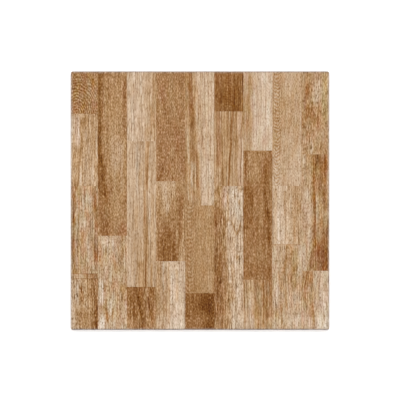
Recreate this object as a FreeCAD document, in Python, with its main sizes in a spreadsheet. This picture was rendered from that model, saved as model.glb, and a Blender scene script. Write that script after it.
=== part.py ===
import FreeCAD, Part
import math
import os
import Sketcher

# A ceramic floor tile, dry-pressed and fired in one piece, lying on its back.
# Millimetres and degrees. The origin is the middle of the back, +Z points out of the glazed face,
# and the printed strips run along Y.

NODE = "tile"

# alias, value, what it sets
DIMENSIONS = (
    ("tile_side", 450.0, "side of the square at its widest, the land of the edge"),
    ("tile_thickness", 8.0, "from the ribs of the back to the glazed face"),
    ("cushion_radius", 2.5, "round-over between the glazed face and the edge"),
    ("face_corner_radius", 0.6, "plan radius of the flat face's own corners"),
    ("land_height", 1.0, "upright band of the edge, below the round-over"),
    ("edge_draft", 2.0, "degrees that the edge leans in towards the back, so that it leaves the die"),
    ("back_chamfer", 0.5, "broken arris round the back"),
    ("rim_width", 8.0, "plain rim of the back, round the ribbed field"),
    ("field_corner_radius", 5.0, "plan radius of the field's corners"),
    ("rib_count", 15, "keying ribs each way across the field"),
    ("rib_width", 3.5, "flat of a rib, level with the rim"),
    ("rib_height", 0.8, "how deep the punch presses the field between the ribs"),
    ("rib_draft", 40.0, "degrees that the flanks of the ribs and of the rim lean"),
)

# What follows from the sizes above: the edge in plan and height, and the ribs' place and section.
DERIVED = (
    ("corner_radius", "=cushion_radius + face_corner_radius"),
    ("drafted_height", "=tile_thickness - cushion_radius - land_height"),
    ("field_side", "=tile_side - 2 * rim_width"),
    ("rib_pitch", "=(field_side + rib_width) / (rib_count + 1)"),
    ("rib_span", "=rib_pitch * (rib_count - 1)"),
    ("rib_root", "=rib_width + 2 * rib_height * tan(rib_draft * 1 deg)"),
    ("rib_length", "=field_side + rim_width"),
)

# How a sketch's constraints call a line's two ends and an arc's centre, and the sketch's own axis and
# origin, which share one index.
START, END, CENTRE = range(1, 4)
ORIGIN_INDEX = H_AXIS_INDEX = -1

LEVEL = 1e-4
VOLUME_SLACK = 0.002


def make_sheet(doc):
    """The driving sizes, one to a row, and the few that follow from them."""
    sheet = doc.addObject("Spreadsheet::Sheet", "Sizes")
    row = 1
    for alias, value, meaning in DIMENSIONS:
        sheet.set("A%d" % row, alias)
        sheet.set("B%d" % row, str(value))
        sheet.set("C%d" % row, meaning)
        sheet.setAlias("B%d" % row, alias)
        row += 1
    for alias, formula in DERIVED:
        sheet.set("A%d" % row, alias)
        sheet.set("B%d" % row, formula)
        sheet.setAlias("B%d" % row, alias)
        row += 1
    doc.recompute()
    return sheet


def sketch_on_plane(body, name, role):
    """A new sketch on one of the body's own origin planes."""
    plane = [item for item in body.Origin.OriginFeatures if item.Role == role][0]
    return sketch_on_face(body, name, plane, "")


def sketch_on_face(body, name, feature, face):
    """A new sketch on a flat face of one of the body's features."""
    sketch = body.newObject("Sketcher::SketchObject", name)
    sketch.AttachmentSupport = [(feature, [face])]
    sketch.MapMode = "FlatFace"
    return sketch


def tie(sketch, constraint, name, size):
    """Adds a named constraint and ties its value to the sheet."""
    index = sketch.addConstraint(constraint)
    sketch.renameConstraint(index, name)
    sketch.setExpression("Constraints.%s" % name, "Sizes.%s" % size)


def draw_rounded_square(sketch, sheet, side_size, radius_size):
    """Four corner arcs joined by tangent edges, centred on the sketch's origin."""
    side = getattr(sheet, side_size)
    radius = getattr(sheet, radius_size)
    reach = side / 2 - radius
    arcs = []
    for quarter, (x, y) in enumerate(((reach, reach), (-reach, reach), (-reach, -reach), (reach, -reach))):
        circle = Part.Circle(FreeCAD.Vector(x, y, 0), FreeCAD.Vector(0, 0, 1), radius)
        begin = quarter * math.pi / 2
        arcs.append(sketch.addGeometry(Part.ArcOfCircle(circle, begin, begin + math.pi / 2), False))
    edges = []
    for quarter, arc in enumerate(arcs):
        ahead = arcs[(quarter + 1) % 4]
        edge = Part.LineSegment(sketch.getPoint(arc, END), sketch.getPoint(ahead, START))
        edges.append(sketch.addGeometry(edge, False))

    for quarter, edge in enumerate(edges):
        ahead = arcs[(quarter + 1) % 4]
        sketch.addConstraint(Sketcher.Constraint("Tangent", arcs[quarter], END, edge, START))
        sketch.addConstraint(Sketcher.Constraint("Tangent", edge, END, ahead, START))
    for arc in arcs[1:]:
        sketch.addConstraint(Sketcher.Constraint("Equal", arcs[0], arc))
    back, left, front, right = edges
    sketch.addConstraint(Sketcher.Constraint("Horizontal", back))
    sketch.addConstraint(Sketcher.Constraint("Horizontal", front))
    sketch.addConstraint(Sketcher.Constraint("Vertical", left))
    sketch.addConstraint(Sketcher.Constraint("Equal", back, left))
    middle = Sketcher.Constraint("Symmetric", arcs[0], CENTRE, arcs[2], CENTRE, ORIGIN_INDEX, START)
    sketch.addConstraint(middle)
    tie(sketch, Sketcher.Constraint("DistanceX", left, START, right, END, side), "side", side_size)
    tie(sketch, Sketcher.Constraint("Radius", arcs[0], radius), "corner", radius_size)


def draw_rib_section(sketch, sheet):
    """The section of the first rib: its flat on the plane of the back, its root on the field's floor."""
    middle = -sheet.rib_span / 2
    flat = sheet.rib_width / 2
    root = sheet.rib_root / 2
    corners = [
        FreeCAD.Vector(middle - flat, 0, 0),
        FreeCAD.Vector(middle + flat, 0, 0),
        FreeCAD.Vector(middle + root, sheet.rib_height, 0),
        FreeCAD.Vector(middle - root, sheet.rib_height, 0),
    ]
    lines = []
    for number, corner in enumerate(corners):
        run = Part.LineSegment(corner, corners[(number + 1) % 4])
        lines.append(sketch.addGeometry(run, False))
    for number, line in enumerate(lines):
        ahead = lines[(number + 1) % 4]
        sketch.addConstraint(Sketcher.Constraint("Coincident", line, END, ahead, START))
    flat_line, near_flank, root_line, far_flank = lines
    centre_line = Part.LineSegment(FreeCAD.Vector(middle, 0, 0), FreeCAD.Vector(middle, sheet.rib_height, 0))
    axis = sketch.addGeometry(centre_line, True)
    sketch.addConstraint(Sketcher.Constraint("Vertical", axis))
    sketch.addConstraint(Sketcher.Constraint("PointOnObject", axis, START, H_AXIS_INDEX))
    for line, end in ((flat_line, START), (root_line, END)):
        sketch.addConstraint(Sketcher.Constraint("Symmetric", line, START, line, END, axis, end))
    sketch.addConstraint(Sketcher.Constraint("Horizontal", flat_line))
    sketch.addConstraint(Sketcher.Constraint("Horizontal", root_line))
    width = Sketcher.Constraint("DistanceX", flat_line, START, flat_line, END, sheet.rib_width)
    tie(sketch, width, "width", "rib_width")
    root_width = Sketcher.Constraint("DistanceX", root_line, END, root_line, START, sheet.rib_root)
    tie(sketch, root_width, "root_width", "rib_root")
    height = Sketcher.Constraint("DistanceY", axis, START, axis, END, sheet.rib_height)
    tie(sketch, height, "height", "rib_height")
    place = Sketcher.Constraint("DistanceX", axis, START, ORIGIN_INDEX, START, sheet.rib_span / 2)
    tie(sketch, place, "place", "rib_span / 2")


def level_parts(parts, word, height):
    """Names, such as Face3 or Edge12, of the faces or edges that lie level at one height."""
    names = []
    for number, item in enumerate(parts, start=1):
        box = item.BoundBox
        if box.ZLength < LEVEL and abs(box.ZMin - height) < LEVEL:
            names.append("%s%d" % (word, number))
    return names


def walls_between(feature, low, high):
    """Names of a feature's faces that rise from one height to another."""
    names = []
    for number, face in enumerate(feature.Shape.Faces, start=1):
        box = face.BoundBox
        if abs(box.ZMin - low) < LEVEL and abs(box.ZMax - high) < LEVEL:
            names.append("Face%d" % number)
    return names


def press_edge(doc, body, sheet):
    """The slab as it leaves the die, with a plain back.

    Its edge leans in towards the back, stands upright at the land, and rolls over into the face.
    """
    back_outline = sketch_on_plane(body, "back_outline", "XY_Plane")
    draw_rounded_square(back_outline, sheet, "tile_side", "corner_radius")
    wall = body.newObject("PartDesign::Pad", "wall")
    wall.Profile = back_outline
    wall.setExpression("Length", "Sizes.drafted_height")
    doc.recompute()

    lean = body.newObject("PartDesign::Draft", "edge_lean")
    lean.Base = (wall, walls_between(wall, 0, sheet.drafted_height))
    lean.NeutralPlane = (wall, level_parts(wall.Shape.Faces, "Face", sheet.drafted_height))
    lean.Reversed = True
    lean.setExpression("Angle", "Sizes.edge_draft")
    doc.recompute()

    top_of_wall = level_parts(lean.Shape.Faces, "Face", sheet.drafted_height)[0]
    land_outline = sketch_on_face(body, "land_outline", lean, top_of_wall)
    draw_rounded_square(land_outline, sheet, "tile_side", "corner_radius")
    land = body.newObject("PartDesign::Pad", "land_and_face")
    land.Profile = land_outline
    land.setExpression("Length", "Sizes.land_height + Sizes.cushion_radius")
    doc.recompute()

    cushion = body.newObject("PartDesign::Fillet", "cushion_edge")
    cushion.Base = (land, level_parts(land.Shape.Edges, "Edge", sheet.tile_thickness))
    cushion.setExpression("Radius", "Sizes.cushion_radius")
    doc.recompute()

    arris = body.newObject("PartDesign::Chamfer", "back_arris")
    arris.Base = (cushion, level_parts(cushion.Shape.Edges, "Edge", 0))
    arris.setExpression("Size", "Sizes.back_chamfer")
    doc.recompute()
    return arris


def press_field(doc, body, sheet):
    """The sunk field of the back, inside its plain rim. Its walls lean as the ribs' flanks do."""
    mouth = sketch_on_plane(body, "field_mouth", "XY_Plane")
    draw_rounded_square(mouth, sheet, "field_side", "field_corner_radius")
    field = body.newObject("PartDesign::Pocket", "field")
    field.Profile = mouth
    field.Reversed = True
    field.setExpression("Length", "Sizes.rib_height")
    doc.recompute()

    lean = body.newObject("PartDesign::Draft", "field_lean")
    lean.Base = (field, walls_between(field, 0, sheet.rib_height))
    lean.NeutralPlane = (field, level_parts(field.Shape.Faces, "Face", 0))
    lean.Reversed = True
    lean.setExpression("Angle", "Sizes.rib_draft")
    doc.recompute()


def press_ribs(doc, body, sheet, role, name):
    """One way's ribs. The first runs from rim to rim, and the rest are spaced from it."""
    section = sketch_on_plane(body, name + "_section", role)
    draw_rib_section(section, sheet)
    rib = body.newObject("PartDesign::Pad", name)
    rib.Profile = section
    rib.Midplane = True
    rib.setExpression("Length", "Sizes.rib_length")
    doc.recompute()

    row = body.newObject("PartDesign::LinearPattern", name + "_row")
    row.Originals = [rib]
    row.Direction = (section, ["H_Axis"])
    row.setExpression("Length", "Sizes.rib_span")
    row.setExpression("Occurrences", "Sizes.rib_count")
    body.Tip = row
    doc.recompute()


def recess_volume(sheet):
    """What the punch takes out between four ribs: a frustum from its mouth to its smaller floor."""
    mouth = sheet.rib_pitch - sheet.rib_width
    floor = sheet.rib_pitch - sheet.rib_root
    return sheet.rib_height * (mouth**2 + mouth * floor + floor**2) / 3


def check(doc, body, sheet, plain_volume):
    """Stops before anything is written if a feature failed or the back lost the wrong amount."""
    for item in doc.Objects:
        if "Invalid" in item.State or "Error" in item.State:
            raise RuntimeError("%s failed: %s" % (item.Name, item.State))
    shape = body.Shape
    if shape.isNull() or not shape.isValid() or len(shape.Solids) != 1:
        raise RuntimeError("%s isn't one valid solid" % body.Label)
    expected = (sheet.rib_count + 1) ** 2 * recess_volume(sheet)
    taken = plain_volume - shape.Volume
    if abs(taken / expected - 1) > VOLUME_SLACK:
        raise RuntimeError("the back lost %.0f mm3, expected %.0f" % (taken, expected))


document = FreeCAD.newDocument("floor_tile")
sizes = make_sheet(document)
tile = document.addObject("PartDesign::Body", NODE)
tile.Label = NODE
tile.Placement = FreeCAD.Placement()
plain_slab_volume = press_edge(document, tile, sizes).Shape.Volume
press_field(document, tile, sizes)
press_ribs(document, tile, sizes, "XZ_Plane", "rib_along_y")
press_ribs(document, tile, sizes, "YZ_Plane", "rib_along_x")
check(document, tile, sizes, plain_slab_volume)

os.makedirs("parts", exist_ok=True)
tile.Shape.exportStep(os.path.join("parts", NODE + ".step"))
box = tile.Shape.BoundBox
print("%s %.3f x %.3f x %.3f mm" % (tile.Label, box.XLength, box.YLength, box.ZLength))
print("volume %.1f mm3, faces %d" % (tile.Shape.Volume, len(tile.Shape.Faces)))
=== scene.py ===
import math

import bmesh
import bpy
from mathutils import Color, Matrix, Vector


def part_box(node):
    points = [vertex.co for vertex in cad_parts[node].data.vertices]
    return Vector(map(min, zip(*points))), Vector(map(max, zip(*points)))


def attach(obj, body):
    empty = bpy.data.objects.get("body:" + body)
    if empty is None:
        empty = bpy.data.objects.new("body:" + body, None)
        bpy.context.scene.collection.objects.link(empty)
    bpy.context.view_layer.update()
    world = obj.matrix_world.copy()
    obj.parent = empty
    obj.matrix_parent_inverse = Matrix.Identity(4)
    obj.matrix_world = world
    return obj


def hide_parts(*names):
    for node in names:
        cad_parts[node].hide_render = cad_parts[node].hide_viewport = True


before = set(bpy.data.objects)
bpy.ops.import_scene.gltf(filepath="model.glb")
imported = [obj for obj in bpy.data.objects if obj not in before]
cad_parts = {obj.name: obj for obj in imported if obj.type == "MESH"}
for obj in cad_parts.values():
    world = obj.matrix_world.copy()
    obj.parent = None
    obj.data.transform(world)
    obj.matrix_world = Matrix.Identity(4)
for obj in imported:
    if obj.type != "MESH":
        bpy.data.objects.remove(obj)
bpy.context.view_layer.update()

# The pressed tile. Clay powder is pressed in a steel die to one slab, which rolls over at its glazed
# face and leans in towards its back, where the punch leaves a plain rim and a grid of keying ribs.
MM = 0.001
CORNER_RADIUS = 3.1 * MM
CUSHION_RADIUS = 2.5 * MM
LAND_FOOT = 4.5 * MM
EDGE_LEAN = math.radians(2)
BACK_ARRIS = 0.5 * MM
RIM_WIDTH = 8 * MM
RIB_COUNT = 15
RIB_WIDTH = 3.5 * MM
RIB_HEIGHT = 0.8 * MM
RIB_LEAN = math.radians(40)
ROUNDING = 6
HAIR = 1e-6
HAIR_DIGITS = 6
CUT_SNAP = HAIR / 10
FACING_DOWN = -0.99

tile_low, tile_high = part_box("tile")
side = tile_high.x - tile_low.x
thickness = tile_high.z - tile_low.z
glaze_foot = thickness - CUSHION_RADIUS


def edges_where(shape, wanted):
    """The edges whose two ends both pass a test of where they are."""
    return [edge for edge in shape.edges if all(wanted(end.co) for end in edge.verts)]


def round_over(shape, edges, radius, segments):
    """Rounds edges to a radius, or breaks them with one flat where there is one segment."""
    bmesh.ops.bevel(
        shape,
        geom=edges,
        affect="EDGES",
        offset=radius,
        offset_type="OFFSET",
        segments=segments,
        profile=0.5,
        material=-1,
        clamp_overlap=True,
    )


def cut(shape, faces, point, normal):
    """Cuts only these faces by a plane. Their neighbours keep their outline and gain the cut's ends."""
    edges = {edge for face in faces for edge in face.edges}
    ends = {end for face in faces for end in face.verts}
    geometry = list(faces) + list(edges | ends)
    bmesh.ops.bisect_plane(shape, geom=geometry, plane_co=point, plane_no=normal, dist=CUT_SNAP)


def back_faces(shape):
    return [face for face in shape.faces if face.normal.z < FACING_DOWN]


def press_slab(shape):
    """The slab with its upright corners, its rolled face edge, its land and its leaning wall."""
    slab = bmesh.ops.create_cube(shape, size=1)["verts"]
    bmesh.ops.scale(shape, vec=(side, side, thickness), verts=slab)
    bmesh.ops.translate(shape, vec=(0, 0, thickness / 2), verts=slab)
    upright = [edge for edge in shape.edges if abs(edge.verts[0].co.z - edge.verts[1].co.z) > MM]
    round_over(shape, upright, CORNER_RADIUS, ROUNDING)
    round_over(shape, edges_where(shape, lambda p: p.z > thickness - HAIR), CUSHION_RADIUS, ROUNDING)
    round_over(shape, edges_where(shape, lambda p: p.z < HAIR), BACK_ARRIS, 1)
    cut(shape, shape.faces[:], (0, 0, LAND_FOOT), (0, 0, 1))
    for height in sorted({round(v.co.z, HAIR_DIGITS) for v in shape.verts if v.co.z < LAND_FOOT - HAIR}):
        inset = (LAND_FOOT - height) * math.tan(EDGE_LEAN)
        ring = [v for v in shape.verts if abs(v.co.z - height) < HAIR]
        narrower = 1 - 2 * inset / side
        bmesh.ops.scale(shape, vec=(narrower, narrower, 1), verts=ring)
    shape.normal_update()


def press_back(shape):
    """The punch's grid: the back is scored along the ribs, and each square between them is sunk."""
    pitch = (side - 2 * RIM_WIDTH + RIB_WIDTH) / (RIB_COUNT + 1)
    near = [-side / 2 + RIM_WIDTH + number * pitch for number in range(RIB_COUNT + 1)]
    far = [line + pitch - RIB_WIDTH for line in near]
    for normal in (Vector((1, 0, 0)), Vector((0, 1, 0))):
        for line in near + far:
            cut(shape, back_faces(shape), normal * line, normal)

    def sunk(place):
        return any(low < place < high for low, high in zip(near, far))

    squares = []
    for face in back_faces(shape):
        middle = face.calc_center_median()
        if sunk(middle.x) and sunk(middle.y):
            squares.append(face)
    wall = RIB_HEIGHT * math.tan(RIB_LEAN)
    bmesh.ops.inset_individual(shape, faces=squares, thickness=wall, depth=-RIB_HEIGHT, use_even_offset=True)
    shape.normal_update()


tile_shape = bmesh.new()
press_slab(tile_shape)
press_back(tile_shape)

# The print. The glazed face carries a traditional small-strip floor: nine strips, each of printed
# staves end to end, the outer strips cut off by the tile's edge. Places on it are in millimetres
# from the tile's left edge and from its top edge, and tones run from 0, cream, to 1, umber.
FIRST_STRIP = 47.2
STRIP = 50.65
STRIP_COUNT = 9
MARKS = 20
MARK_SOFTNESS = 0.5
SHARPEST_MARK = 0.15

LAYERS = ["stave_tone", "stave_foot", "stave_span", "stave_grain", "stave_cloud", "stave_place"]
LAYERS += ["rings", "ring_form", "arches", "arch_form"]
LAYERS += [name % number for number in range(MARKS) for name in ("mark_%d", "run_%d", "edge_%d")]


def mark(middle, half, change, start, end, lean=0, soft=None, turn=0):
    """A streak, a patch or a knot of a stave.

    It reaches half its width either side of its middle, runs down from start to end and leans that far
    on its way. It changes the stave's tone, turns its hue by so many degrees, and has soft edges.
    """
    if soft is None:
        soft = MARK_SOFTNESS * half + SHARPEST_MARK
    return (middle, half, change), (start, end, lean), (soft, turn, 0)


def stave(top, foot, left, right, split, soft=2.0, lean=0.0, foot_left=None, foot_right=None,
          grain=(7, 6, 5), tint=1.0, pores=0.0, cloud=(2, 2), seam=0.0,
          rings=None, arches=None, marks=()):
    """One printed stave, which runs from top to foot.

    left and right are its tones either side of split, which is soft that wide and leans that far over
    the stave's length. foot_left and foot_right are the tones at its foot, where they differ. grain is
    how strong its hairlines, streaks and flecks are, and cloud its bands and its mottle. tint is how far
    its colour wanders, pores how dark its pores are, and seam how dark its top end. rings and arches
    give a middle and a spacing, then a change of tone, a reach, and how squashed or how steep they are.
    """
    tone_foot = (left if foot_left is None else foot_left, right if foot_right is None else foot_right)
    layers = {
        "stave_tone": (left, right, split),
        "stave_foot": (*tone_foot, lean),
        "stave_span": (top, foot - top, soft),
        "stave_grain": grain,
        "stave_cloud": (*cloud, seam),
        "pores": pores,
        "tint": tint,
    }
    if rings:
        layers["rings"], layers["ring_form"] = rings
    if arches:
        layers["arches"], layers["arch_form"] = arches
    for number, (across, run, edge) in enumerate(marks):
        layers["mark_%d" % number] = across
        layers["run_%d" % number] = run
        layers["edge_%d" % number] = edge
    return top, foot, layers


STRIPS = (
    # The first strip, cut off by the left edge: a ringed brown stave over honey ones
    (
        stave(0, 73.8, 0.64, 0.60, 30, soft=8, grain=(2, 2, 10), tint=1.6, cloud=(2, 3),
              rings=((10.3, 73.0, 3.6), (0.14, 55.0, 0.7)),
              marks=(mark(5, 4, 0.06, 2, 30, turn=2), mark(36, 6, -0.05, 28, 52),
                     mark(40, 7, 0.06, 52, 74, turn=-2), mark(20, 8, 0.04, 3, 73))),
        stave(73.8, 199.8, 0.48, 0.46, 16, grain=(10, 7.5, 5.5), tint=0, pores=0.06, cloud=(2, 2),
              marks=(mark(11, 5, -0.12, 77, 128, turn=-2), mark(18.4, 1.6, 0.15, 86, 150, -1.2, turn=1),
                     mark(25, 5, 0.10, 78, 100), mark(34, 11, -0.05, 165, 199),
                     mark(17.5, 1.6, -0.14, 165, 199), mark(7, 6, 0.10, 184, 205),
                     mark(44.5, 1.3, -0.10, 100, 150), mark(31.5, 2, -0.07, 125, 158),
                     mark(9, 6, 0.06, 137, 165), mark(12.8, 1.5, -0.10, 78, 114),
                     mark(1.5, 2.0, -0.12, 78, 160), mark(37, 3, 0.05, 78, 130),
                     mark(13.8, 0.8, -0.10, 100, 130), mark(3, 3.5, -0.14, 77, 108),
                     mark(16.5, 2.4, 0.09, 148, 180), mark(44, 3, 0.08, 160, 186),
                     mark(26, 2, -0.07, 94, 122), mark(26, 2, -0.08, 150, 172))),
        stave(199.8, 352, 0.62, 0.44, 10.5, soft=1.5, foot_left=0.54, foot_right=0.46, grain=(9, 6, 6),
              tint=1.6, pores=0.11, cloud=(1, 2),
              marks=(mark(42, 6, 0.13, 199, 244), mark(23.5, 3.5, -0.09, 205, 280),
                     mark(24.3, 0.9, 0.28, 206, 254), mark(14.5, 1.0, 0.14, 205, 268, -1),
                     mark(4.5, 1.8, 0.16, 238, 264, turn=-2), mark(43, 3.8, 0.14, 288, 352, turn=-2),
                     mark(46.5, 1.2, 0.10, 292, 340), mark(9.6, 2.2, -0.16, 208, 345),
                     mark(31, 2, -0.06, 290, 330), mark(20, 2, 0.08, 276, 312),
                     mark(36, 4, -0.08, 216, 345), mark(31, 5, -0.07, 218, 246),
                     mark(45, 3.4, 0.17, 236, 328), mark(46, 2, -0.12, 200, 232),
                     mark(4.5, 2.8, 0.07, 199, 350), mark(42.5, 2.5, 0.05, 205, 300),
                     mark(5.5, 2.5, -0.12, 196, 212), mark(1.8, 1.8, -0.08, 232, 296),
                     mark(10.5, 1.8, 0.10, 202, 216), mark(15.5, 2.2, -0.10, 232, 252))),
        stave(352, 360.5, 0.41, 0.49, 20, grain=(8, 4, 6), cloud=(0, 0), seam=0.26,
              marks=(mark(42, 6, 0.16, 350, 362, turn=-2),)),
        stave(360.5, 450, 0.38, 0.52, 20, soft=8, grain=(7, 5, 8.5), tint=0.2, pores=0.12, cloud=(1, 3),
              seam=0.20,
              marks=(mark(44.5, 4, 0.22, 350, 460), mark(18.6, 2.2, 0.24, 376, 402, 3),
                     mark(15, 8, 0.15, 410, 444), mark(45.5, 2, 0.10, 395, 460),
                     mark(35, 4, 0.07, 375, 400), mark(27, 4, -0.05, 375, 420),
                     mark(39, 8, 0.18, 428, 460), mark(10, 3, -0.08, 372, 398),
                     mark(17.4, 2.2, 0.12, 376, 402), mark(17, 3, 0.06, 424, 450),
                     mark(11, 2.0, -0.05, 372, 400), mark(14, 3, -0.06, 360, 380),
                     mark(44, 2, -0.10, 372, 392))),
    ),
    # The second strip: one long brown stave over a paler one
    (
        stave(0, 286.3, 0.60, 0.59, 70, grain=(5, 2, 7.6), tint=0.3, pores=0.04, cloud=(1, 3),
              marks=(mark(50.4, 3.4, 0.21, -20, 162, soft=1.6, turn=1),
                     mark(53.0, 3.0, 0.20, 144, 188, 3), mark(57, 7, 0.12, 182, 286),
                     mark(93.6, 3.6, 0.09, 14, 104, soft=2.2), mark(78, 13, -0.06, 55, 250),
                     mark(80, 14, -0.09, 118, 172), mark(92, 5, -0.08, 172, 212),
                     mark(90, 8, 0.07, 264, 288, turn=-2), mark(60, 8, 0.10, -8, 9),
                     mark(72, 4, 0.08, 186, 218), mark(78, 18, 0.05, 278, 300),
                     mark(59.5, 1.8, -0.08, 44, 148), mark(58.5, 4.2, 0.13, 160, 222),
                     mark(49.6, 2.6, 0.16, 162, 206), mark(65, 3, 0.06, 190, 214),
                     mark(62, 2.4, -0.12, 230, 256), mark(88, 7, -0.05, 120, 168),
                     mark(68, 2.4, 0.08, 36, 56), mark(54.6, 2.2, 0.08, -20, 74, soft=1.5),
                     mark(50.5, 3, 0.12, 100, 132))),
        stave(286.3, 450, 0.41, 0.43, 72, soft=6, grain=(7.5, 7, 7), tint=1.4, pores=0.1, cloud=(1, 3),
              marks=(mark(58, 8, -0.06, 288, 308), mark(61.5, 2.2, 0.10, 304, 322),
                     mark(73, 2.5, -0.12, 292, 314), mark(89.5, 2.8, 0.14, 286, 345),
                     mark(52, 4, -0.15, 364, 408), mark(58.5, 1.8, 0.14, 368, 382),
                     mark(54.5, 4.2, -0.25, 430, 452), mark(55, 6, 0.10, 406, 420),
                     mark(61.5, 1.8, 0.28, 398, 436, 3), mark(90, 3.5, 0.07, 374, 402),
                     mark(73.2, 1.0, 0.10, 356, 372), mark(70, 2, -0.10, 400, 424),
                     mark(51.5, 2.2, 0.10, 290, 334), mark(72.5, 2, -0.07, 380, 402),
                     mark(93, 3.5, -0.05, 402, 450), mark(79, 2.5, 0.06, 380, 448),
                     mark(64.5, 1.8, -0.07, 290, 345), mark(56.5, 3.5, -0.14, 374, 404),
                     mark(74, 2, 0.09, 414, 434), mark(64.5, 2, 0.08, 372, 394))),
    ),
    # The third strip: two pale staves over a dark one
    (
        stave(0, 121.6, 0.335, 0.41, 130, soft=8, grain=(7.5, 6, 4), tint=0.5, pores=0.06, cloud=(0, 2),
              marks=(mark(145, 3, 0.07, 0, 121), mark(140, 1.0, 0.12, 60, 110),
                     mark(122.3, 1.2, -0.10, 0, 40), mark(110, 3, -0.06, 0, 20),
                     mark(126, 2, -0.06, 40, 56), mark(134, 3, 0.07, 94, 112),
                     mark(108, 3, -0.09, 40, 96), mark(129.5, 2.5, 0.05, 95, 121))),
        stave(121.6, 375.3, 0.365, 0.40, 135, soft=3, grain=(7.5, 4, 4), tint=0, pores=0.05,
              cloud=(0, 2),
              marks=(mark(133, 3.4, 0.25, 112, 205, -0.5, soft=1.6), mark(128.5, 2.2, 0.14, 232, 380),
                     mark(137.2, 1.4, -0.07, 130, 300), mark(116, 8, 0.07, 288, 376),
                     mark(141, 1.8, 0.15, 335, 376), mark(119, 2.5, 0.08, 121, 140),
                     mark(101, 3, -0.06, 215, 250), mark(119, 4, -0.10, 124, 172),
                     mark(128.8, 2.4, 0.20, 208, 268, 0.5, soft=1.4), mark(115.5, 2, -0.08, 160, 216),
                     mark(131, 1.5, 0.16, 318, 378), mark(123, 4, 0.16, 330, 376),
                     mark(137, 1.8, -0.09, 236, 262), mark(142.5, 2.5, 0.06, 215, 330),
                     mark(103, 3, -0.06, 342, 376), mark(132.4, 2.2, 0.155, 268, 380),
                     mark(113.5, 3, 0.10, 236, 276), mark(112, 2.5, -0.08, 312, 372),
                     mark(122, 2.5, 0.08, 160, 200), mark(115, 2.5, -0.08, 130, 168))),
        stave(375.3, 450, 0.69, 0.69, 120, grain=(6, 5, 8), tint=0.4, pores=0.05, cloud=(1, 3),
              marks=(mark(114.5, 1.8, 0.18, 372, 455, 11), mark(134, 2.2, 0.16, 392, 425, 5),
                     mark(103, 4, 0.05, 372, 412), mark(147, 1.6, -0.10, 375, 450),
                     mark(132.5, 3.2, -0.13, 379, 402), mark(123, 2.5, 0.12, 395, 416),
                     mark(124, 2.0, 0.11, 418, 446, 2), mark(101, 4, -0.10, 430, 444),
                     mark(135, 4, -0.10, 424, 446), mark(137, 3, 0.07, 378, 424),
                     mark(123.5, 2.4, 0.07, 384, 420), mark(105, 3, 0.07, 418, 440))),
    ),
    # The fourth strip: a brown stave, one that darkens on its left towards its foot, and a pale one
    (
        stave(0, 191.3, 0.62, 0.62, 175, soft=6, grain=(3, 5.5, 7.4), tint=0.4, cloud=(1, 3),
              marks=(mark(173, 1.4, 0.10, 130, 190, -20, soft=1.0),
                     mark(179, 1.2, 0.07, 148, 190, -14, soft=1.0), mark(186, 8, -0.02, 24, 70),
                     mark(160, 8, 0.04, 20, 55, turn=-2), mark(175, 25, 0.02, 80, 191, turn=-1),
                     mark(192, 5, 0.12, -5, 22), mark(150.5, 1.8, -0.08, 28, 56),
                     mark(153, 3, 0.07, 4, 16), mark(153, 3, -0.06, 26, 48),
                     mark(168, 5, -0.06, 26, 48), mark(194, 2.5, 0.06, 96, 120),
                     mark(184, 5, -0.05, 145, 190), mark(186, 1.2, 0.06, 120, 190, -10, soft=1.0),
                     mark(177, 4, -0.06, 138, 184))),
        stave(191.3, 330.6, 0.42, 0.54, 183, soft=1.5, foot_left=0.80, foot_right=0.48,
              grain=(6.5, 5.5, 7), tint=0.1, pores=0.05, cloud=(1, 2),
              marks=(mark(187, 3, 0.10, 205, 280), mark(162, 5, -0.06, 196, 250),
                     mark(193.6, 2.8, 0.18, 214, 288, -3), mark(190.5, 2.0, 0.18, 286, 331, -6),
                     mark(150, 2.2, -0.14, 270, 331), mark(166, 9, 0.05, 276, 312),
                     mark(173.5, 3.5, 0.09, 276, 298), mark(159, 5, 0.05, 292, 316),
                     mark(167, 6, -0.05, 210, 262), mark(176, 4, 0.06, 290, 312),
                     mark(184.5, 1.8, 0.13, 288, 328, -2), mark(178, 3, 0.10, 222, 244),
                     mark(168.5, 3, -0.10, 230, 252))),
        stave(330.6, 450, 0.43, 0.30, 169, soft=8, grain=(10, 4, 6), tint=0.6, pores=0.05, cloud=(1, 2),
              marks=(mark(160.2, 2.0, -0.09, 333, 376), mark(149.8, 1.0, 0.05, 335, 450),
                     mark(153, 2.2, 0.08, 344, 402), mark(170.5, 1.8, 0.13, 333, 440),
                     mark(185, 2.4, 0.16, 346, 402), mark(165, 2.5, 0.04, 380, 425),
                     mark(161.4, 0.9, -0.14, 333, 384), mark(176.5, 2.5, -0.08, 352, 402))),
    ),
    # The fifth strip: a stave with a slanting split, one with arches, and the darkest of all
    (
        stave(0, 233.3, 0.54, 0.36, 213, soft=2.5, lean=14, grain=(7.5, 5.4, 4.6), tint=0.7, pores=0.06,
              cloud=(2, 2),
              marks=(mark(208.2, 3.1, 0.15, -10, 100, 3.0, soft=1.2), mark(212, 4.2, 0.08, 96, 160, 4),
                     mark(202.4, 1.4, -0.10, 26, 46, turn=-2),
                     mark(204, 1.5, -0.14, 98, 160, 1, turn=2), mark(197.5, 1.5, 0.06, 160, 233),
                     mark(205, 1.0, -0.12, 168, 225), mark(210, 1.0, -0.10, 168, 225),
                     mark(215.5, 2, 0.10, 0, 56), mark(211.5, 2.0, -0.10, 156, 200),
                     mark(225, 4, 0.05, 55, 104), mark(236.5, 1.6, 0.08, 86, 128),
                     mark(241, 2.5, -0.05, 156, 190), mark(206, 2.4, 0.09, 24, 96),
                     mark(214, 3.5, -0.11, 158, 206), mark(221.5, 2.8, 0.13, 138, 200),
                     mark(238, 9, -0.06, 158, 232), mark(219.5, 2.5, 0.07, 24, 52),
                     mark(234, 5, -0.06, 2, 50), mark(217, 3, -0.05, 96, 150),
                     mark(201, 2.2, -0.10, 80, 112))),
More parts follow.
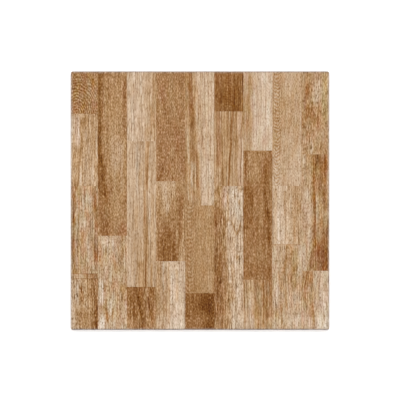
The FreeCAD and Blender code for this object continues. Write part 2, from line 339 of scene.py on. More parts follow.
        stave(233.3, 386.1, 0.56, 0.535, 220, grain=(4, 4.5, 5.5), tint=0.4, cloud=(1, 2),
              arches=((207.0, 240.0, 7.4), (0.09, 11.0, 0.10)),
              marks=(mark(243, 4, -0.05, 340, 386), mark(199, 2, 0.05, 233, 386),
                     mark(243, 4, -0.05, 236, 256), mark(206, 5, 0.05, 308, 356))),
        stave(386.1, 450, 0.77, 0.86, 228, soft=14, grain=(3, 4.5, 8), tint=0, cloud=(1, 3),
              marks=(mark(238, 9, 0.06, 398, 424), mark(214, 6, -0.03, 386, 450),
                     mark(228, 8, -0.08, 424, 440), mark(240, 8, 0.12, 438, 456),
                     mark(224, 30, 0.05, 380, 424), mark(216, 3, 0.05, 400, 426))),
    ),
    # The sixth strip: a dark end, a brown stave with slanting streaks, and one with a pale right side
    (
        stave(0, 69.8, 0.79, 0.79, 276, soft=8, grain=(7, 3, 5), tint=0.4, cloud=(2, 2),
              arches=((275.0, 20.0, 4.6), (0.05, 9.0, 0.02)),
              marks=(mark(300, 1.3, 0.18, 2, 80), mark(288, 5, 0.05, 8, 72),
                     mark(250.5, 1.6, -0.10, 12, 50), mark(272, 18, -0.08, -10, 9),
                     mark(294, 3, -0.07, -5, 30), mark(254, 4, 0.04, 4, 12, turn=-3),
                     mark(261, 8, -0.08, 2, 26), mark(278, 9, 0.06, 28, 70),
                     mark(254, 3, -0.07, 46, 70), mark(277.5, 2.5, -0.08, 22, 66))),
        stave(69.8, 199.8, 0.50, 0.47, 278, soft=4, grain=(9, 3, 4), tint=0.3, pores=0.06, cloud=(2, 2),
              marks=(mark(258.2, 4.0, 0.12, 70, 165, soft=1.0, turn=-2),
                     mark(260.9, 0.8, -0.20, 66, 110), mark(282.4, 1.5, 0.25, 66, 205, -8),
                     mark(287.4, 1.1, 0.16, 72, 122, -2.5), mark(274.2, 1.4, 0.12, 66, 112),
                     mark(276.4, 0.8, -0.14, 66, 88), mark(299.8, 1.1, 0.14, 76, 114, -3),
                     mark(295, 4, -0.06, 66, 205, turn=-2), mark(273, 2.5, -0.08, 166, 200),
                     mark(300, 2.4, -0.08, 118, 165), mark(264, 1.2, 0.06, 120, 200),
                     mark(252.5, 2, -0.04, 110, 160), mark(268, 2.4, 0.05, 72, 112),
                     mark(274, 2.5, 0.06, 112, 135), mark(276.5, 1.2, 0.12, 150, 200, -2))),
        stave(199.8, 450, 0.64, 0.33, 267, soft=7, lean=10, grain=(7, 9, 6.4), tint=0.5, pores=0.17,
              cloud=(1, 3),
              marks=(mark(256, 7, -0.14, 196, 232, turn=1), mark(267, 4.5, -0.14, 200, 238, turn=-3),
                     mark(293.4, 1.6, 0.30, 225, 231), mark(296.5, 0.9, 0.26, 262, 284, -7),
                     mark(263, 3.5, 0.12, 416, 448), mark(286.5, 2.0, 0.12, 214, 224),
                     mark(294, 6, -0.09, 235, 262), mark(281, 1.0, 0.26, 262, 284, 7),
                     mark(290.5, 2.0, 0.42, 321, 327), mark(268.5, 1.3, 0.14, 242, 270),
                     mark(266, 2.5, -0.12, 292, 328), mark(283, 3, 0.12, 336, 400),
                     mark(284, 8, -0.12, 198, 250), mark(294, 4, 0.22, 198, 208),
                     mark(274, 2.4, 0.16, 214, 262), mark(254, 3, 0.12, 201, 218),
                     mark(258, 8, 0.08, 335, 378), mark(253.5, 3.5, 0.09, 378, 440),
                     mark(269.5, 2, -0.15, 394, 438), mark(277, 3.5, 0.12, 368, 402))),
    ),
    # The seventh strip: a stave with a pale right side, a long dark one, and a streaked one
    (
        stave(0, 137.8, 0.48, 0.28, 321, soft=4, lean=-5, grain=(5, 4, 4), pores=0.05, cloud=(1, 2),
              marks=(mark(311, 2.2, 0.10, 6, 72, turn=1), mark(307, 2.5, 0.05, 40, 105),
                     mark(303.5, 1.2, -0.08, 0, 137), mark(322, 0.9, 0.10, 0, 42),
                     mark(344.5, 2.5, -0.12, 52, 95), mark(338, 5, -0.05, 0, 15),
                     mark(306, 3.5, -0.06, 0, 20, turn=-3), mark(316, 4, -0.08, 42, 72, turn=-3),
                     mark(318.5, 3, -0.12, 0, 48), mark(325, 26, -0.04, 0, 22))),
        stave(137.8, 362.9, 0.66, 0.65, 325, grain=(4, 4, 7), tint=0.3, cloud=(1, 3),
              marks=(mark(337, 7, 0.12, 152, 205), mark(339, 3.5, 0.15, 205, 256, 2),
                     mark(345, 3, 0.14, 240, 300, 1), mark(308, 7, 0.10, 196, 266),
                     mark(322, 13, -0.10, 146, 192), mark(306, 5.0, 0.24, 270, 274, soft=0.6),
                     mark(301.0, 0.8, 0.10, 200, 362), mark(345.5, 3, 0.10, 338, 364),
                     mark(305, 2.6, 0.10, 148, 180), mark(315.5, 2.5, 0.09, 202, 266),
                     mark(339, 4, 0.08, 254, 292), mark(328, 7, -0.06, 312, 344),
                     mark(307, 5, 0.04, 248, 295), mark(345, 2.5, 0.09, 270, 318),
                     mark(311, 7, 0.06, 342, 362), mark(322, 8, 0.05, 205, 228),
                     mark(338, 2, -0.07, 318, 340))),
        stave(362.9, 450, 0.43, 0.54, 321, soft=1.5, grain=(9, 5, 5), tint=1.1, pores=0.06, cloud=(3, 2),
              marks=(mark(321, 1.3, 0.12, 362, 455), mark(344, 1.0, -0.12, 362, 412),
                     mark(340.5, 1.4, 0.14, 362, 455), mark(302.5, 1.4, 0.09, 362, 455),
                     mark(335.5, 1.8, 0.15, 362, 408), mark(312, 3, -0.05, 385, 450),
                     mark(323, 3.5, -0.08, 400, 440), mark(347, 3, 0.12, 363, 415),
                     mark(301.8, 1, 0.10, 363, 420), mark(318, 2, 0.11, 364, 386),
                     mark(311.5, 2.2, -0.08, 398, 432), mark(333, 2.5, 0.06, 376, 404),
                     mark(325, 2, 0.08, 404, 428), mark(325.5, 1.5, -0.08, 364, 384),
                     mark(314, 2, 0.12, 350, 382))),
    ),
    # The eighth strip: a stave with faint arches over two pale ones
    (
        stave(0, 199.5, 0.50, 0.44, 372, foot_left=0.38, foot_right=0.39, soft=10, grain=(3, 5, 5.5),
              tint=0.6, cloud=(1, 2), arches=((359.0, 30.0, 6.2), (0.11, 9.5, 0.13)),
              marks=(mark(382, 14, 0.05, 38, 100), mark(380, 9, -0.06, 0, 40),
                     mark(394, 5, -0.04, 137, 198), mark(358, 7, 0.07, 66, 134),
                     mark(391, 5, -0.05, 68, 92), mark(355, 3, -0.04, 2, 24),
                     mark(393, 3, -0.06, 36, 92))),
        stave(199.5, 301.1, 0.33, 0.43, 378, soft=5, grain=(11, 5, 6), tint=0.4, pores=0.12,
              cloud=(1, 2),
              marks=(mark(372.6, 1.0, 0.12, 208, 252), mark(355.5, 3, 0.07, 202, 300),
                     mark(376, 2, 0.04, 202, 296), mark(391, 6, 0.06, 199, 235),
                     mark(400, 1.3, 0.14, 232, 246), mark(390, 2, 0.10, 256, 300),
                     mark(397, 2.6, 0.08, 226, 300), mark(383, 2.5, -0.06, 218, 245),
                     mark(369, 2, -0.05, 268, 296), mark(356, 1.1, 0.20, 291, 299, 11),
                     mark(362, 3, -0.08, 244, 300), mark(398, 3, -0.07, 250, 300),
                     mark(350.8, 1.2, -0.12, 240, 270))),
        stave(301.1, 450, 0.40, 0.41, 375, soft=6, grain=(7.5, 8, 6), tint=1.4, pores=0.12,
              cloud=(1, 3), seam=0.10,
              marks=(mark(358, 7, -0.07, 303, 330), mark(376, 1.6, 0.14, 304, 346, -4),
                     mark(371.5, 1.4, 0.17, 342, 415, 5), mark(361, 0.9, 0.15, 346, 384, 4),
                     mark(367, 2.0, 0.18, 408, 440), mark(358, 3.5, 0.12, 412, 430),
                     mark(396, 4, -0.06, 420, 450), mark(387, 12, -0.06, 385, 440),
                     mark(388, 7, 0.05, 305, 375, turn=2), mark(400, 4, -0.07, 302, 350),
                     mark(392, 3, 0.08, 336, 355), mark(383, 9, 0.08, 304, 372),
                     mark(371, 3, 0.06, 330, 352), mark(358, 5, -0.05, 398, 425),
                     mark(371, 3, 0.06, 400, 448), mark(388, 9, 0.06, 400, 424),
                     mark(391, 3, 0.05, 352, 372), mark(361, 4, -0.08, 365, 402),
                     mark(369.5, 2, 0.08, 346, 380))),
    ),
    # The last strip, cut off by the right edge: a knotted stave, then two with slanting streaks
    (
        stave(0, 144.4, 0.48, 0.47, 425, soft=6, grain=(0, 6, 7), pores=0.08, cloud=(1, 4),
              marks=(mark(412, 6.5, 0.12, 3, 13), mark(412.5, 4.5, 0.14, 24, 48),
                     mark(413, 8, 0.14, 58, 84), mark(413, 4, 0.10, 72, 80),
                     mark(408, 2, 0.10, 46, 68, turn=-3), mark(431, 3, 0.04, 76, 102, turn=-3),
                     mark(403, 3.0, 0.28, 90, 98, 2.5), mark(413, 6, 0.14, 99, 99.5, soft=0.8),
                     mark(409, 4, 0.10, 127, 142), mark(428, 6, -0.10, 16, 58),
                     mark(443, 5, 0.04, 0, 84, turn=5), mark(403, 2, 0.08, 100, 130),
                     mark(406, 5, -0.05, 2, 26), mark(421, 5, 0.07, 28, 95),
                     mark(413, 8, 0.07, 80, 118), mark(419, 2, -0.10, 120, 142),
                     mark(437, 5, -0.05, 4, 48), mark(434, 5, 0.06, 120, 142),
                     mark(401.5, 2, 0.10, 46, 134), mark(448, 2.2, -0.10, 20, 58))),
        stave(144.4, 347.2, 0.42, 0.53, 421, soft=2, foot_right=0.58, grain=(6.5, 4.5, 6.5), tint=1.2,
              pores=0.06, cloud=(2, 3),
              marks=(mark(429.5, 1.8, 0.18, 146, 176, -6.5), mark(423.3, 1.7, 0.20, 176, 305, 3),
                     mark(425, 6, 0.12, 146, 164), mark(438, 9, 0.20, 143, 154),
                     mark(441, 4.5, 0.19, 158, 226), mark(434, 3.5, 0.10, 152, 212),
                     mark(443, 5, 0.15, 270, 350, turn=-1), mark(434, 6, 0.12, 294, 350, turn=-2),
                     mark(416.5, 3, -0.06, 245, 318), mark(420, 2.2, 0.20, 312, 348, -5),
                     mark(428.5, 3, -0.12, 212, 262), mark(411, 4, -0.08, 206, 245),
                     mark(441, 6, 0.09, 146, 166), mark(424, 4, 0.06, 150, 190),
                     mark(424.5, 2, 0.09, 278, 324), mark(405.5, 3, -0.12, 302, 346),
                     mark(418.5, 2.5, 0.13, 322, 346), mark(415, 1.2, 0.16, 328, 347, -4),
                     mark(447.5, 3, -0.16, 236, 272), mark(415, 5, 0.08, 146, 186))),
        stave(347.2, 450, 0.45, 0.33, 424, soft=8, grain=(6.5, 6.5, 5.5), tint=1.5, pores=0.12,
              cloud=(1, 3),
              marks=(mark(405, 1.4, 0.18, 350, 378, -1), mark(403, 1.4, 0.10, 392, 412, -2),
                     mark(412, 3.0, 0.12, 349, 383, -2), mark(408, 3, 0.10, 387, 412),
                     mark(418.5, 1.6, 0.14, 352, 372, -3), mark(422, 1.8, 0.15, 404, 442),
                     mark(437, 7, -0.07, 405, 450), mark(444, 4, -0.08, 382, 450),
                     mark(420, 3, 0.05, 405, 430), mark(419, 3, 0.08, 350, 374),
                     mark(431, 2.5, 0.11, 372, 398), mark(424, 3, 0.06, 378, 425),
                     mark(405.5, 3, -0.07, 398, 424), mark(410, 8, -0.06, 424, 452),
                     mark(443, 3, 0.08, 350, 376), mark(411, 1.0, 0.14, 350, 388, -5),
                     mark(441, 2.5, 0.08, 424, 440), mark(417, 0.9, 0.12, 364, 400, 2),
                     mark(409, 0.9, 0.12, 384, 418, 2), mark(431, 5, -0.09, 426, 452))),
    ),
)


SEED_BY_STRIP = 7.3
SEED_BY_STAVE = 2.9


def glazed_faces(shape):
    return [face for face in shape.faces if face.calc_center_median().z > glaze_foot - HAIR]


def strip_of(face):
    """The number of the strip that a face lies in."""
    across = (face.calc_center_median().x + side / 2) / MM
    return min(STRIP_COUNT - 1, max(0, math.floor((across - FIRST_STRIP) / STRIP) + 1))


def lay_out_print(shape):
    """Scores the glazed face along the strips and at each joint, and gives each stave its tones."""
    for number in range(STRIP_COUNT - 1):
        across = (FIRST_STRIP + number * STRIP) * MM - side / 2
        cut(shape, glazed_faces(shape), (across, 0, 0), (1, 0, 0))
    for number, staves in enumerate(STRIPS):
        for top, foot, layers in staves[1:]:
            strip = [face for face in glazed_faces(shape) if strip_of(face) == number]
            cut(shape, strip, (0, side / 2 - top * MM, 0), (0, 1, 0))
    named = {name: shape.faces.layers.float_vector.new(name) for name in LAYERS}
    for face in glazed_faces(shape):
        number = strip_of(face)
        down = (side / 2 - face.calc_center_median().y) / MM
        for order, (top, foot, layers) in enumerate(STRIPS[number]):
            last = order == len(STRIPS[number]) - 1
            if down < foot or last:
                for name in LAYERS:
                    if name in layers:
                        face[named[name]] = layers[name]
                seed = number * SEED_BY_STRIP + order * SEED_BY_STAVE
                face[named["stave_place"]] = (seed, layers["pores"], layers["tint"])
                break


lay_out_print(tile_shape)

# The glaze. Brown ceramic stains, from cream to umber, are printed on the raw tile, covered with a satin
# glaze and fired on with the body. The glaze wraps the rolled edge and ends where the land begins.
ROLLED_FROM = 0.02
ROLLED_TO = 0.9999
UPRIGHT = 0.1

for face in tile_shape.faces:
    height = face.calc_center_median().z
    rolled = ROLLED_FROM < face.normal.z < ROLLED_TO
    face.smooth = rolled or (height > BACK_ARRIS and abs(face.normal.z) < UPRIGHT)
    face.material_index = 0 if height > glaze_foot - HAIR else 1


class Flow:
    """A number that varies over the tile. Sums of flows become the nodes of the material in hand."""

    tree = None

    def __init__(self, socket):
        self.socket = socket

    def __add__(self, other):
        return sum_of("ADD", self, other)

    __radd__ = __add__

    def __sub__(self, other):
        return sum_of("SUBTRACT", self, other)

    def __rsub__(self, other):
        return sum_of("SUBTRACT", other, self)

    def __mul__(self, other):
        return sum_of("MULTIPLY", self, other)

    def __truediv__(self, other):
        return sum_of("DIVIDE", self, other)


def feed(node, name, value):
    """Sets an input of a node from a flow or a plain value."""
    socket = node.inputs[name]
    if isinstance(value, Flow):
        Flow.tree.links.new(value.socket, socket)
    else:
        socket.default_value = value


def add_node(kind, feeds, **settings):
    made = Flow.tree.nodes.new(kind)
    for name, value in settings.items():
        setattr(made, name, value)
    for name, value in feeds.items():
        feed(made, name, value)
    return made


def sum_of(operation, *values):
    feeds = dict(enumerate(values))
    return Flow(add_node("ShaderNodeMath", feeds, operation=operation).outputs[0])


def ramp_between(value, start, end):
    """Rises softly from 0 to 1 as the value goes from start to end."""
    feeds = {"Value": value, "From Min": start, "From Max": end}
    made = add_node("ShaderNodeMapRange", feeds, interpolation_type="SMOOTHSTEP")
    return Flow(made.outputs["Result"])


def parts_of(vector):
    made = add_node("ShaderNodeSeparateXYZ", {"Vector": vector})
    return [Flow(made.outputs[axis]) for axis in ("X", "Y", "Z")]


def layer(name):
    """The three numbers of one of the print's layers."""
    made = add_node("ShaderNodeAttribute", {}, attribute_type="GEOMETRY", attribute_name=name)
    return parts_of(Flow(made.outputs["Vector"]))


def place_on_tile():
    """The three coordinates of a point of the tile, in metres from the middle of its back."""
    made = add_node("ShaderNodeTexCoord", {})
    return parts_of(Flow(made.outputs["Object"]))


NOISE_ROUGHNESS = 0.5
NOISE_MIDDLE = 0.5
NOISE_GAIN = 8.0
NOISE_REACH = 3.0


def clouds(x, y, z, detail):
    """Smooth noise about zero, of spread about one and within three. Its period is one unit."""
    place = add_node("ShaderNodeCombineXYZ", {"X": x, "Y": y, "Z": z})
    feeds = {"Vector": Flow(place.outputs[0]), "Scale": 1.0, "Detail": detail, "Roughness": NOISE_ROUGHNESS}
    made = add_node("ShaderNodeTexNoise", feeds, noise_dimensions="3D")
    return (Flow(made.outputs[0]) - NOISE_MIDDLE) * NOISE_GAIN


# Each kind of figure has a width and a length in millimetres, a shift of its seed, and its detail.
WAVER = (60, 45, 0.0, 1.0)
RING_WANDER = (14, 14, 0.0, 1.0)
ARCH_TEARS = (5, 14, 7.0, 1.0)
HAIRLINES = (1.3, 110, 0.0, 1.0)
STREAKS = (1.35, 16, 17.0, 1.0)
FLECKS = (1.4, 4, 31.0, 0.0)
PORES = (1.2, 13, 101.0, 0.0)
BANDS = (5, 150, 57.0, 1.0)
MOTTLE = (9, 40, 71.0, 2.0)
GOLDEN = (9, 26, 83.0, 1.0)
STRONG = (9, 26, 91.0, 1.0)
RIPPLE = (7, 7, 5.0, 2.0)
RAISED_GRAIN = (2, 16, 0.0, 1.0)
DULL_PATCHES = (9, 9, 3.0, 3.0)


def figure(kind, x, y, seed=0.0):
    """The noise of one kind of figure at a place on the face."""
    width, length, shift, detail = kind
    return clouds(x / width, y / length, seed + shift, detail)


def stave_ground(wavy, along, soft):
    """The stave's plain tone, which changes over its split and towards its foot."""
    left, right, split = layer("stave_tone")
    foot_left, foot_right, split_lean = layer("stave_foot")
    left_tone = left + (foot_left - left) * along
    right_tone = right + (foot_right - right) * along
    edge_of_split = split + split_lean * along
    over = ramp_between(wavy - edge_of_split, soft * -1.0, soft)
    return left_tone + (right_tone - left_tone) * over


MARK_REACH = 3.0
NEVER_NOTHING = 0.001


def lay_marks(tone, wavy, y):
    """The tone with the stave's marks on it, and the degrees by which they turn its hue."""
    turned_by = 0.0
    for number in range(MARKS):
        middle, half, change = layer("mark_%d" % number)
        start, end, lean = layer("run_%d" % number)
        progress = (y - start) / (end - start + NEVER_NOTHING)
        soft, turn = layer("edge_%d" % number)[:2]
        off = sum_of("ABSOLUTE", wavy - middle - lean * progress)
        width = ramp_between(off, half + soft, half - soft)
        reach = soft * 2 + MARK_REACH
        fade = ramp_between(y, start - reach, start + reach) * ramp_between(y, end + reach, end - reach)
        tone = tone + width * fade * change
        turned_by = turned_by + width * fade * turn
    return tone, turned_by


FULL_TURN = 2 * math.pi
RING_WANDERING = 0.7
RING_FADE = 0.6


def year_rings(x, y, seed):
    """The change of tone by the rings round a knot."""
    ring_x, ring_y, gap = layer("rings")
    change, reach, squash = layer("ring_form")
    dx = x - ring_x
    dy = (y - ring_y) * squash
    radius = sum_of("SQRT", dx * dx + dy * dy) + figure(RING_WANDER, x, y, seed) * RING_WANDERING
    wave = sum_of("SINE", radius / (gap + NEVER_NOTHING) * FULL_TURN)
    return wave * change * ramp_between(radius, reach, reach * RING_FADE)


ARCH_TEARING = 1.1
ARCH_FADE = 0.3


def grain_arches(x, y, seed):
    """The change of tone by the arches of a flat-sawn stave."""
    arch_x, arch_y, gap = layer("arches")
    change, reach, slope = layer("arch_form")
    off = sum_of("ABSOLUTE", x - arch_x)
    place = y - arch_y + off * off * slope
    torn = figure(ARCH_TEARS, x, y, seed) * ARCH_TEARING
    wave = sum_of("SINE", place / (gap + NEVER_NOTHING) * FULL_TURN + torn)
    return wave * change * ramp_between(off, reach, reach * ARCH_FADE)


HAIR_INK = 0.0117
STREAK_INK = 0.0128
FLECK_INK = 0.0116
EVEN_TONE = 0.58
PITTING = 1.2
LEAST_PITTING = -0.12
PIT_LEVEL = 0.6
PORE_START = 1.0
PORE_FULL = 1.9


def stave_grain(tone, x, wavy, y, seed, pore_depth):
    """The fine grain. On a pale stave its dark strokes are deeper than its pale ones are light."""
    hairs, streaks, flecks = layer("stave_grain")
    depth = sum_of("MAXIMUM", (EVEN_TONE - tone) * PITTING, LEAST_PITTING)

    def pitted(strokes):
        return strokes + (strokes * strokes - PIT_LEVEL) * depth

    grain = pitted(figure(HAIRLINES, wavy, y, seed)) * hairs * HAIR_INK
    grain = grain + pitted(figure(STREAKS, wavy, y, seed)) * streaks * STREAK_INK
    grain = grain + pitted(figure(FLECKS, x, y, seed)) * flecks * FLECK_INK
    return grain + ramp_between(figure(PORES, wavy, y, seed), PORE_START, PORE_FULL) * pore_depth


BAND_INK = 0.01
MOTTLE_INK = 0.01
SEAM_END = 1.8
SEAM_DARKEST = 0.4
PALE_FOOT = (418.0, 436.0)
PALER = 0.05


def shade_stave(tone, x, wavy, y, seed, top):
    """The tone with the stave's bands, mottle and dark top end, made paler towards the tile's foot."""
    bands, mottle, seam = layer("stave_cloud")
    tone = tone + figure(BANDS, wavy, y, seed) * bands * BAND_INK
    tone = tone + figure(MOTTLE, x, y, seed) * mottle * MOTTLE_INK
    return tone + ramp_between(y - top, SEAM_END, SEAM_DARKEST) * seam - ramp_between(y, *PALE_FOOT) * PALER


LIGHT_LEVEL = 1.456
VEIL = 0.0084
BLACKEST = 0.0008
FULL_LEVEL = 255


def paint(colour):
    """The reflectance that looks like this colour of a screen under the studio's light."""
    seen = Color([value / FULL_LEVEL for value in colour]).from_srgb_to_scene_linear()
    return [max(BLACKEST, (value - VEIL) / LIGHT_LEVEL) for value in seen] + [1]


STAINS = (
    (0.00, (240, 232, 220)),
    (0.14, (226, 208, 186)),
    (0.28, (208, 182, 155)),
    (0.43, (190, 157, 121)),
    (0.53, (177, 139, 97)),
    (0.61, (166, 126, 85)),
    (0.69, (156, 112, 71)),
    (0.77, (145, 100, 56)),
    (0.90, (123, 77, 34)),
    (1.00, (103, 58, 20)),
)
FULL_CIRCLE = 360
HUE_UNTURNED = 0.4995
GOLDEN_HUE = 0.0040
GOLDEN_PALER = 0.020
STRONGER = 0.036


def stained(tone, turned_by, tint, x, y, seed):
    """The stain of a tone. Its hue and its strength wander a little, from golden to reddish."""
    stain = add_node("ShaderNodeValToRGB", {"Fac": tone})
    ramp = stain.color_ramp
    golden = figure(GOLDEN, x, y, seed)
    strong = figure(STRONG, x, y, seed)
    hue = golden * tint * GOLDEN_HUE + turned_by / FULL_CIRCLE + HUE_UNTURNED
    saturation = (strong * STRONGER - golden * GOLDEN_PALER) * tint + 1.0
    feeds = {"Hue": hue, "Saturation": saturation, "Color": Flow(stain.outputs["Color"])}
    turned = add_node("ShaderNodeHueSaturation", feeds)
    for position, colour in STAINS[1:-1]:
        ramp.elements.new(position).color = paint(colour)
    ramp.elements[0].color = paint(STAINS[0][1])
    ramp.elements[-1].color = paint(STAINS[-1][1])
    return Flow(turned.outputs["Color"])


def laid_over(under, colour, cover):
    """A colour with another one laid over it, as thick as cover says."""
    feeds = {"A": under, "B": paint(colour), "Factor": cover}
    made = add_node("ShaderNodeMix", feeds, data_type="RGBA")
    return Flow(made.outputs["Result"])


# The grey along the four edges is partly the print thinning to its base glaze and partly painted shade on
# the rolled edge.
EDGE_GLAZE_AND_SHADE_GREY = (170, 155, 138)
EDGE_GLAZE_AND_SHADE_COVER = 0.45
EDGE_GLAZE_AND_SHADE_BAND = (5.0, 0.6)
# This brown is painted shade on the roll at the foot, which faces away from the strongest light; on the roll
# at the top it is laid as a plain darker brown.
EDGE_BROWN_AND_SHADE = (96, 66, 38)
TOP_BROWN_COVER = 0.85
TOP_BROWN_BAND = (2.0, 0.3)
FOOT_SHADE_COVER = 0.95
FOOT_SHADE_BAND = (2.2, 0.4)


def shaded_edge(colour, x, y):
    """Greys the print along the tile's four edges, where it thins to its base glaze, with painted shade in
    the grey, browns it on the roll at its top, and paints shade on the roll at its foot.
    """
    far = side / MM
    inward = sum_of("MINIMUM", sum_of("MINIMUM", x, far - x), sum_of("MINIMUM", y, far - y))
    # Grey of the thinning print, with painted shade in it, laid along all four edges.
    greyed_and_shaded = laid_over(colour, EDGE_GLAZE_AND_SHADE_GREY, ramp_between(inward, *EDGE_GLAZE_AND_SHADE_BAND) * EDGE_GLAZE_AND_SHADE_COVER)
    # Painted shade on the roll at the foot.
    foot = ramp_between(far - y, *FOOT_SHADE_BAND) * FOOT_SHADE_COVER
    top = ramp_between(y, *TOP_BROWN_BAND) * TOP_BROWN_COVER
    return laid_over(greyed_and_shaded, EDGE_BROWN_AND_SHADE, foot + top)


EYE_GAMMA = 2.4
GRAIN_TINT = (-0.515, -0.56, -0.61)
DARKEST_GRAIN = (0.045, 0.045, 0.045)


def grained(colour, grain):
    """Darkens a colour by its grain in steps that look even, so a stroke shows alike on any stain."""
    seen = add_node("ShaderNodeGamma", {"Color": colour, "Gamma": 1 / EYE_GAMMA})
    strokes = add_node("ShaderNodeCombineXYZ", {"X": grain, "Y": grain, "Z": grain})
    feeds = {0: Flow(strokes.outputs[0]), 1: GRAIN_TINT, 2: Flow(seen.outputs["Color"])}
    darker = add_node("ShaderNodeVectorMath", feeds, operation="MULTIPLY_ADD")
    feeds = {0: Flow(darker.outputs[0]), 1: DARKEST_GRAIN}
    kept = add_node("ShaderNodeVectorMath", feeds, operation="MAXIMUM")
    print_colour = add_node("ShaderNodeGamma", {"Color": Flow(kept.outputs[0]), "Gamma": EYE_GAMMA})
    return Flow(print_colour.outputs["Color"])


def new_finish(name):
    """An empty material, which the flows that follow fill."""
    material = bpy.data.materials.new(name)
    material.use_nodes = True
    Flow.tree = material.node_tree
    Flow.tree.nodes.clear()
    return material


def surface(colour, roughness, relief, strength, depth):
    """Ends the material in hand with its colour, its roughness and its relief, and gives its shader."""
    bump = add_node("ShaderNodeBump", {"Height": relief, "Strength": strength, "Distance": depth})
    feeds = {"Base Color": colour, "Roughness": roughness, "Normal": Flow(bump.outputs["Normal"])}
    shader = add_node("ShaderNodeBsdfPrincipled", feeds)
    add_node("ShaderNodeOutputMaterial", {"Surface": Flow(shader.outputs["BSDF"])})
    return shader


WAVERING = 0.5
GLAZE_ROUGHNESS = 0.26
GLAZE_DULLER = 0.08
GLAZE_IOR = 1.5
GLAZE_SHINE = 0.3
GLAZE_RELIEF = 0.25
GLAZE_RIPPLE = 0.01 * MM
GRAIN_RIPPLE = 0.5


def printed_glaze():
    """The print under its satin glaze."""
    material = new_finish("printed glaze")
    x_m, y_m = place_on_tile()[:2]
    x = x_m / MM + side / 2 / MM
    y = side / 2 / MM - y_m / MM
    seed, pore_depth, tint = layer("stave_place")
    top, length, soft = layer("stave_span")
    wavy = x + figure(WAVER, x, y, seed) * WAVERING

    tone = stave_ground(wavy, (y - top) / length, soft)
    tone, turned_by = lay_marks(tone, wavy, y)
    tone = tone + year_rings(x, y, seed)
    tone = tone + grain_arches(x, y, seed)
    grain = stave_grain(tone, x, wavy, y, seed, pore_depth)
    tone = shade_stave(tone, x, wavy, y, seed, top)

    colour = stained(tone, turned_by, tint, x, y, seed)
    colour = grained(shaded_edge(colour, x, y), grain)
    dull = ramp_between(figure(DULL_PATCHES, x, y), -NOISE_REACH, NOISE_REACH)
    rough = dull * GLAZE_DULLER + GLAZE_ROUGHNESS
    ripple = figure(RIPPLE, x, y) + figure(RAISED_GRAIN, wavy, y, seed) * GRAIN_RIPPLE
    shader = surface(colour, rough, ripple, GLAZE_RELIEF, GLAZE_RIPPLE)
    shader.inputs["IOR"].default_value = GLAZE_IOR
    shader.inputs["Specular IOR Level"].default_value = GLAZE_SHINE
    return material


# The bare body. Buff clay with darker grog in it shows on the edge and the back, where no glaze is laid.
# Body, print and glaze are fired together, so the tile is one piece with two finishes.
CLAY_DARK = (150, 104, 78)
CLAY_PALE = (206, 160, 126)
CLAY_ROUGHNESS = 0.8
CLAY_DULLER = 0.1
GROG_SIZE = 1.6
GROG_DETAIL = 3.0
GROG_RELIEF = 0.5
GROG_DEPTH = 0.03 * MM
PATCH_SIZE = 60
PATCH_DETAIL = 2.0
CLAY_MIX = 0.6


def fired_clay():
    """The bare body of the edge and the back."""
    material = new_finish("fired clay")
    x, y, z = [part / MM for part in place_on_tile()]
    grog = clouds(x / GROG_SIZE, y / GROG_SIZE, z / GROG_SIZE, GROG_DETAIL)
    patch = clouds(x / PATCH_SIZE, y / PATCH_SIZE, z / PATCH_SIZE, PATCH_DETAIL)
    tone = ramp_between(grog * CLAY_MIX + patch * CLAY_MIX, -NOISE_REACH, NOISE_REACH)
    stain = add_node("ShaderNodeValToRGB", {"Fac": tone})
    stain.color_ramp.elements[0].color = paint(CLAY_DARK)
    stain.color_ramp.elements[1].color = paint(CLAY_PALE)
    surface(Flow(stain.outputs["Color"]), tone * CLAY_DULLER + CLAY_ROUGHNESS, grog, GROG_RELIEF, GROG_DEPTH)
    return material


tile_mesh = bpy.data.meshes.new("pressed tile")
tile_shape.to_mesh(tile_mesh)
tile_shape.free()
tile_mesh.materials.append(printed_glaze())
tile_mesh.materials.append(fired_clay())
tile = bpy.data.objects.new("pressed_tile", tile_mesh)
bpy.context.collection.objects.link(tile)
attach(tile, "root")
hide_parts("tile")

# The studio. The tile lies on a pale matt floor under four broad soft lights, the strongest at its top
# edge, and a camera with a long lens looks straight down on it. The places are in metres.
FLOOR_SIDE = 8.0
FLOOR_WHITE = (0.94, 0.94, 0.94, 1)
FLOOR_ROUGHNESS = 0.9
FLOOR_SHINE = 0.1

floor_shape = bmesh.new()
bmesh.ops.create_grid(floor_shape, x_segments=1, y_segments=1, size=FLOOR_SIDE / 2)
floor_mesh = bpy.data.meshes.new("floor")
floor_shape.to_mesh(floor_mesh)
floor_shape.free()
floor = bpy.data.objects.new("floor", floor_mesh)
bpy.context.collection.objects.link(floor)
floor_material = bpy.data.materials.new("pale floor")
floor_material.use_nodes = True
floor_shader = floor_material.node_tree.nodes["Principled BSDF"]
floor_shader.inputs["Base Color"].default_value = FLOOR_WHITE
floor_shader.inputs["Roughness"].default_value = FLOOR_ROUGHNESS
floor_shader.inputs["Specular IOR Level"].default_value = FLOOR_SHINE
floor_mesh.materials.append(floor_material)

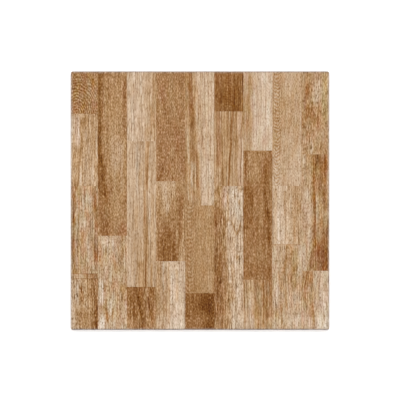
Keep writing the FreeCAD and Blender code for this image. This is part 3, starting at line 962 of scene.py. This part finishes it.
LIGHT_WIDTH = 3.0
LIGHT_DEPTH = 1.4
LIGHT_AWAY = 2.3
LIGHT_HEIGHT = 2.3
TOP_POWER = 82
SIDE_POWER = 49
BOTTOM_POWER = 42
SKY = (1, 1, 1, 1)
SKY_STRENGTH = 0.2


def soft_light(name, place, power):
    """A broad light that faces the tile."""
    lamp = bpy.data.lights.new(name, "AREA")
    lamp.shape = "RECTANGLE"
    lamp.size = LIGHT_WIDTH
    lamp.size_y = LIGHT_DEPTH
    lamp.energy = power
    lamp_object = bpy.data.objects.new(name, lamp)
    lamp_object.location = place
    lamp_object.rotation_mode = "QUATERNION"
    lamp_object.rotation_quaternion = (-Vector(place)).to_track_quat("-Z", "Y")
    bpy.context.collection.objects.link(lamp_object)


soft_light("top light", (0, LIGHT_AWAY, LIGHT_HEIGHT), TOP_POWER)
soft_light("left light", (-LIGHT_AWAY, 0, LIGHT_HEIGHT), SIDE_POWER)
soft_light("right light", (LIGHT_AWAY, 0, LIGHT_HEIGHT), SIDE_POWER)
soft_light("bottom light", (0, -LIGHT_AWAY, LIGHT_HEIGHT), BOTTOM_POWER)

world = bpy.data.worlds.new("studio")
world.use_nodes = True
world.node_tree.nodes["Background"].inputs["Color"].default_value = SKY
world.node_tree.nodes["Background"].inputs["Strength"].default_value = SKY_STRENGTH
bpy.context.scene.world = world
bpy.context.scene.view_settings.view_transform = "Standard"

LENS = 200
SENSOR = 36
FRAME_PIXELS = 400
TILE_PIXELS = 258.4
TILE_MIDDLE_X = 199.97
TILE_MIDDLE_Y = 200.6
FARTHEST_SEEN = 20

pixel = side / TILE_PIXELS
distance = FRAME_PIXELS * pixel * LENS / SENSOR
camera_data = bpy.data.cameras.new("view from above")
camera_data.lens = LENS
camera_data.sensor_width = SENSOR
camera_data.clip_end = FARTHEST_SEEN
camera = bpy.data.objects.new("view from above", camera_data)
camera.location = (
    (FRAME_PIXELS / 2 - TILE_MIDDLE_X) * pixel,
    (TILE_MIDDLE_Y - FRAME_PIXELS / 2) * pixel,
    thickness + distance,
)
bpy.context.collection.objects.link(camera)
bpy.context.scene.camera = camera
